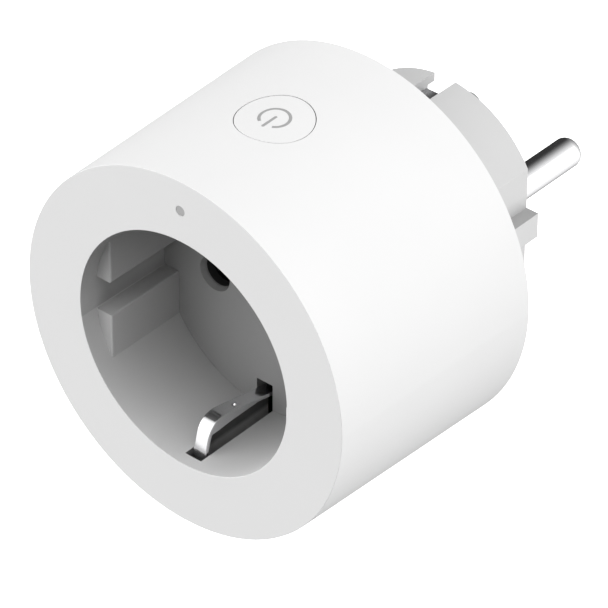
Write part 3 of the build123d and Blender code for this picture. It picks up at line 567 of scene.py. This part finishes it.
def base_tone(surface, flow):
    """Plug base: painted shade on its ribs' upper and lower faces and in the corners beside them.
    """
    axes = surface.axes()
    sideways = surface.math("ABSOLUTE", axes["X"])
    height = surface.math("ABSOLUTE", axes["Z"])
    on_flat = surface.math("COMPARE", sideways, BASE_FLAT_X, NEAR)
    on_rib = surface.math("COMPARE", sideways, BASE_RIB_X, NEAR)
    rib_top = surface.product(
        surface.math("GREATER_THAN", sideways, BASE_FLAT_X + NEAR),
        surface.math("COMPARE", height, BASE_RIB_HALF, NEAR),
    )
    corner = surface.product(
        surface.ranged(height, 1.0, 0.0, (BASE_RIB_HALF, BASE_RIB_HALF + CORNER_REACH)),
        on_flat,
    )
    shade = surface.product(
        surface.ranged(axes["X"], FAR_BASE_SHADE, 1.0, FAR_BASE_X),
        surface.ranged(surface.math("MAXIMUM", on_flat, on_rib), 1.0, BASE_SIDE_LIGHT),
    )
    tone = surface.times(flow_marked(surface, flow, grey(BASE_WHITE)), shade)
    tone = surface.mixed(corner, tone, grey(BASE_WHITE * CORNER_SHADE))
    return surface.mixed(rib_top, tone, grey(BASE_WHITE * RIB_TOP_SHADE))


def visible_plastics():
    """Each slot's colour or tone, its roughness, and its grain where that isn't the usual one."""
    looks = {
        "shell_plastic": (shell_tone, 0.5),
        "button_plastic": (button_tone, 0.5),
        "insert_plastic": (recess_tone, 0.5),
        "base_plastic": (base_tone, 0.5),
        "light_pipe_plastic": (grey(0.43), 0.3, 0.001),
        "shutter_plastic": (grey(0.012), 0.4),
    }
    return {name: moulded_plastic(name, *look) for name, look in looks.items()}


def symbol_paint():
    """Grey paint wiped into the engraved symbol."""
    surface = Surface("symbol_paint", 0.45)
    blotches = surface.noise(1.4, detail=3)
    surface.colour(surface.mixed(blotches, grey(SYMBOL_GREY * 0.95), grey(SYMBOL_GREY * 1.05)))
    surface.bump(surface.noise(9.0, detail=2), 0.006)
    return surface


# ---------------------------------------------------------------- metals
def plated_metal(name, colour, roughness, along="Y"):
    """Plated metal: fine drawing lines along an axis, and soft smears."""
    surface = Surface(name, roughness, metallic=1.0)
    scales = {"X": (0.15, 9, 9), "Y": (9, 0.15, 9), "Z": (9, 9, 0.15)}[along]
    drawn = surface.noise(1.0, detail=3, vector=surface.stretched(scales))
    smears = surface.noise(0.35, detail=2)
    surface.colour(surface.mixed(smears, tinted(colour, 0.97), colour))
    surface.roughness(surface.ranged(drawn, roughness * 0.8, roughness * 1.25, NOISE_SPAN))
    surface.bump(drawn, 0.0015)
    return surface


def turned_metal(name, colour, roughness):
    """Turned and plated pin: rings left by the cutting tool run round it."""
    surface = Surface(name, roughness, metallic=1.0)
    rings = surface.noise(1.0, detail=2, vector=surface.stretched((0.2, 14, 0.2)))
    smears = surface.noise(0.5, detail=2)
    surface.colour(surface.mixed(smears, tinted(colour, 0.97), colour))
    surface.roughness(surface.ranged(smears, roughness * 0.94, roughness * 1.06, NOISE_SPAN))
    surface.bump(rings, 0.0006)
    return surface


def metals():
    """Each slot's colour, its roughness, and the axis of its lines where that isn't Y."""
    plated = {
        "clip_metal": ((0.80, 0.80, 0.81), 0.18),
        "earth_metal": ((0.45, 0.45, 0.46), 0.3),
        "screw_steel": ((0.60, 0.60, 0.62), 0.28),
        "spring_steel": ((0.60, 0.60, 0.62), 0.2),
        "contact_brass": ((0.78, 0.60, 0.30), 0.25),
        "busbar_copper": ((0.80, 0.45, 0.30), 0.28),
        "shield_tin": (grey(0.68), 0.32, "X"),
        "soft_iron": (grey(0.46), 0.35, "Z"),
    }
    made = {name: plated_metal(name, *look) for name, look in plated.items()}
    made["pin_nickel"] = turned_metal("pin_nickel", (0.86, 0.86, 0.87), 0.20)
    return made


# ---------------------------------------------------------------- plastics and parts inside
def inner_plastics():
    """Each slot's colour and roughness."""
    looks = {
        "carrier_plastic": (grey(0.055), 0.5),
        "relay_plastic": (grey(0.010), 0.38),
        "bobbin_plastic": (grey(0.018), 0.45),
        "chip_plastic": (grey(0.012), 0.55),
        "ferrite": (grey(0.020), 0.7),
        "capacitor_sleeve": ((0.012, 0.012, 0.02), 0.3),
        "film_capacitor_case": ((0.55, 0.36, 0.03), 0.3),
        "varistor_coating": ((0.02, 0.08, 0.32), 0.3),
        "fuse_body": ((0.06, 0.20, 0.09), 0.4),
        "led_plastic": ((0.80, 0.78, 0.60), 0.2),
    }
    return {name: moulded_plastic(name, *look) for name, look in looks.items()}


def board_laminate():
    """Solder mask over copper tracks, with the glass weave faintly showing."""
    surface = Surface("board_laminate", 0.35)
    tracks = surface.cell_edges(0.45, surface.stretched((1, 0.2, 1)))
    copper = surface.ranged(tracks, 1, 0, (0.10, 0.13))
    weave = surface.noise(4.0, detail=1)
    mask = surface.mixed(weave, (0.004, 0.030, 0.014), (0.005, 0.038, 0.017))
    surface.colour(surface.mixed(copper, mask, (0.010, 0.070, 0.028)))
    surface.bump(copper, 0.03)
    surface.bump(weave, 0.004)
    return surface


def wound_copper():
    """Enamelled wire."""
    surface = Surface("winding_copper", 0.22, metallic=1.0)
    tint = surface.noise(0.8, detail=2)
    surface.colour(surface.mixed(tint, (0.52, 0.20, 0.08), (0.66, 0.29, 0.12)))
    surface.set("Coat Weight", 0.4)
    surface.set("Coat Roughness", 0.1)
    return surface


def paint_nodes():
    """Gives every CAD node the finished material of its slot."""
    made = {**visible_plastics(), **metals(), **inner_plastics()}
    made["board_laminate"] = board_laminate()
    made["winding_copper"] = wound_copper()
    made["symbol_paint"] = symbol_paint()
    slots = {part["node"]: part["material_slot"] for part in frame["record"]["subparts"]}
    for name, node in NODES.items():
        for place in node.material_slots:
            place.material = made[slots[name]].material
    return {name: surface.material for name, surface in made.items()}


# ---------------------------------------------------------------- pieces made here
SHARP_ANGLE = 38            # degrees; edges of a smooth piece that turn more than this stay sharp


def closed_sweep(name, rings, material, body, smooth=True):
    """A solid through a row of closed rings of points in millimetres, capped at both ends."""
    build = bmesh.new()
    rows = [[build.verts.new(Vector(point) * MM) for point in ring] for ring in rings]
    count = len(rows[0])
    for row, after in zip(rows, rows[1:]):
        for k in range(count):
            build.faces.new((row[k], row[(k + 1) % count], after[(k + 1) % count], after[k]))
    build.faces.new(reversed(rows[0]))
    build.faces.new(rows[-1])
    bmesh.ops.recalc_face_normals(build, faces=build.faces)
    for face in build.faces:
        face.smooth = smooth
    mesh = bpy.data.meshes.new(name)
    build.to_mesh(mesh)
    build.free()
    mesh.materials.append(material)
    piece = bpy.data.objects.new(name, mesh)
    bpy.context.scene.collection.objects.link(piece)
    if smooth:
        mesh.set_sharp_from_angle(angle=math.radians(SHARP_ANGLE))
    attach(piece, body)
    return piece


def curve_points(knots, steps):
    """Points along one cubic curve, from its end points and the two handles between them."""
    start, lead, trail, end = (Vector(knot) for knot in knots)
    for k in range(steps):
        t = k / steps
        s = 1 - t
        yield start * s ** 3 + lead * (3 * s * s * t) + trail * (3 * s * t * t) + end * t ** 3


CLIP_HALF_WIDTH = 1.2
CLIP_SHEET = 0.5            # thickness of the sprung sheet
CLIP_EDGE = 0.17            # radius of its folded edges
# Its outline, each point as depth behind the front face and distance from the axis.
CLIP_FOOT = (3.15, 20.2)
CLIP_KNEE = (4.1, 16.9)
CLIP_KNEE_HANDLES = ((4.7, 14.8), (6.0, 14.35))
CLIP_CREST = (7.3, 14.35)
CLIP_CREST_HANDLES = ((9.0, 14.35), (15.0, 15.9))
CLIP_ROOT = (21.6, 17.6)    # middle of its rolled root
CLIP_ROOT_R = 0.9
CLIP_ROLL = 0.8 * TAU       # how far the sheet rolls round it
CLIP_STEPS = (16, 40, 120, 24)      # along its foot, its knee, its long leg and its roll
CLIP_FLANGES = ((5.0, 16.45), (14.5, 16.05), (18.2, 16.85))     # edge of its flanges
CLIP_FLANGE_END = CLIP_ROOT[0] - 1
CLIP_FLANGE_LEAST = 0.02    # how far the flanges reach under the sheet at least
CLIP_EDGE_STEPS = 5         # round a folded edge
CLIP_TOP_STEPS = 20         # across its outer face, fine enough for the dimple
DIMPLE = (10.9, 0.31)       # depth and sideways place of the coined contact dimple
DIMPLE_R = 0.55
DIMPLE_HEIGHT = 0.50


def clip_path():
    """The sheet's outer face, as depth behind the front face and distance from the axis."""
    foot, knee, root = (Vector(point) for point in (CLIP_FOOT, CLIP_KNEE, CLIP_ROOT))
    foot_steps, knee_steps, leg_steps, roll_steps = CLIP_STEPS
    leg_end = (root.x, root.y - CLIP_ROOT_R)
    points = [foot.lerp(knee, k / foot_steps) for k in range(foot_steps)]
    points += curve_points((knee, *CLIP_KNEE_HANDLES, CLIP_CREST), knee_steps)
    points += curve_points((CLIP_CREST, *CLIP_CREST_HANDLES, leg_end), leg_steps)
    for k in range(roll_steps + 1):
        turn = CLIP_ROLL * k / roll_steps
        points.append(root + CLIP_ROOT_R * Vector((math.sin(turn), -math.cos(turn))))
    return points


def clip_section(flange):
    """Section of the folded channel, all round: sideways place and depth into the sheet."""
    middle = CLIP_HALF_WIDTH - CLIP_EDGE
    turns = [TAU / 4 * k / CLIP_EDGE_STEPS for k in range(CLIP_EDGE_STEPS + 1)]
    edge = [(middle + CLIP_EDGE * math.sin(t), CLIP_EDGE - CLIP_EDGE * math.cos(t)) for t in turns]
    left = [(-x, depth) for x, depth in reversed(edge)]
    top = [(middle * (2 * k / CLIP_TOP_STEPS - 1), 0) for k in range(1, CLIP_TOP_STEPS)]
    outer = [(-CLIP_HALF_WIDTH, flange), *left, *top, *edge, (CLIP_HALF_WIDTH, flange)]
    inner = CLIP_HALF_WIDTH - CLIP_SHEET
    return outer + [(inner, flange), (inner, CLIP_SHEET), (-inner, CLIP_SHEET), (-inner, flange)]


def flange_edge(depth):
    """How far from the axis the clip's flanges reach at a depth."""
    for (near, low), (far, high) in zip(CLIP_FLANGES, CLIP_FLANGES[1:]):
        if depth < far:
            return low + (high - low) * max(depth - near, 0) / (far - near)
    return CLIP_FLANGES[-1][1]


def dimple_lift(depth, sideways):
    """How far the coined dimple lifts the sheet's outer face."""
    reach = math.hypot(depth - DIMPLE[0], sideways - DIMPLE[1]) / DIMPLE_R
    return DIMPLE_HEIGHT * (1 - reach * reach) ** 1.5 if reach < 1 else 0.0


def add_clip(side, name, node, material):
    """Sprung earth clip of folded sheet; side is 1 for the upper one and -1 for the lower one."""
    points = clip_path()
    rings = []
    for k, point in enumerate(points):
        along = points[min(k + 1, len(points) - 1)] - points[max(k - 1, 0)]
        along.normalize()
        inward = Vector((-along.y, along.x))
        flange = CLIP_SHEET + CLIP_FLANGE_LEAST
        runs_inwards = inward.y > 0.1
        if runs_inwards and point.x < CLIP_FLANGE_END:
            flange = max(flange, (flange_edge(point.x) - point.y) / inward.y)
        ring = []
        for sideways, sink in clip_section(flange):
            if sink == 0:
                sink = -dimple_lift(point.x, sideways)
            place = point + inward * sink
            ring.append((sideways, FACE_Y + place.x, side * place.y))
        rings.append(ring)
    piece = closed_sweep(name, rings, material, node.replace("earth_", ""))
    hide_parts(node)


SYMBOL_R = 2.22
SYMBOL_HALF_LINE = 0.23
SYMBOL_GAP = math.atan2(2.4, 4)     # half the angle of the gap in its ring
SYMBOL_BAR = (-2.74, 0.44)          # ends of its bar, from the middle of the button
SYMBOL_TIP = 0.1                    # width of the bar's rounded ends, of its whole width
SYMBOL_STEPS = (64, 24)             # round its ring and along its bar
BUTTON_Y = FACE_Y + BODY_LENGTH / 2
PAINT_SINKS = (0.03, 0.145)         # of the paint's top and bottom under the side


def on_side(x, y, sink):
    """A point under the tapered side at the top; y counts from the middle of the button."""
    radius = FRONT_R + (BODY_LENGTH / 2 + y) * SIDE_TAPER - sink
    return (x, BUTTON_Y + y, math.sqrt(radius * radius - x * x))


def paint_section(near, far):
    """Corners of the section across a painted line, between two places on the button."""
    top, bottom = PAINT_SINKS
    corners = ((near, top), (far, top), (far, bottom), (near, bottom))
    return [on_side(*place, sink) for place, sink in corners]


def add_symbol(material):
    """Paint in the engraved power symbol: an open ring and a bar."""
    ring_steps, bar_steps = SYMBOL_STEPS
    ring = []
    for k in range(ring_steps + 1):
        turn = SYMBOL_GAP + (TAU - 2 * SYMBOL_GAP) * k / ring_steps
        near, far = (
            (radius * math.sin(turn), -radius * math.cos(turn))
            for radius in (SYMBOL_R - SYMBOL_HALF_LINE, SYMBOL_R + SYMBOL_HALF_LINE)
        )
        ring.append(paint_section(near, far))
    low, high = SYMBOL_BAR
    bar = []
    for k in range(bar_steps + 1):
        share = (1 - math.cos(TAU / 2 * k / bar_steps)) / 2
        y = low + (high - low) * share
        end = min(y - low, high - y, SYMBOL_HALF_LINE) / SYMBOL_HALF_LINE
        half = SYMBOL_HALF_LINE * math.sqrt(max(1 - (1 - end) ** 2, SYMBOL_TIP ** 2))
        bar.append(paint_section((-half, y), (half, y)))
    for name, rows in (("symbol_ring_paint", ring), ("symbol_bar_paint", bar)):
        closed_sweep(name, rows, material, "button", smooth=False)


add_camera()
add_sky()
add_floor()
add_flag()
finishes = paint_nodes()
for side, name in ((1, "upper"), (-1, "lower")):
    add_clip(side, f"{name}_clip_spring", f"{name}_earth_clip", finishes["clip_metal"])
add_symbol(finishes["symbol_paint"])
bpy.context.scene.view_settings.view_transform = "Standard"
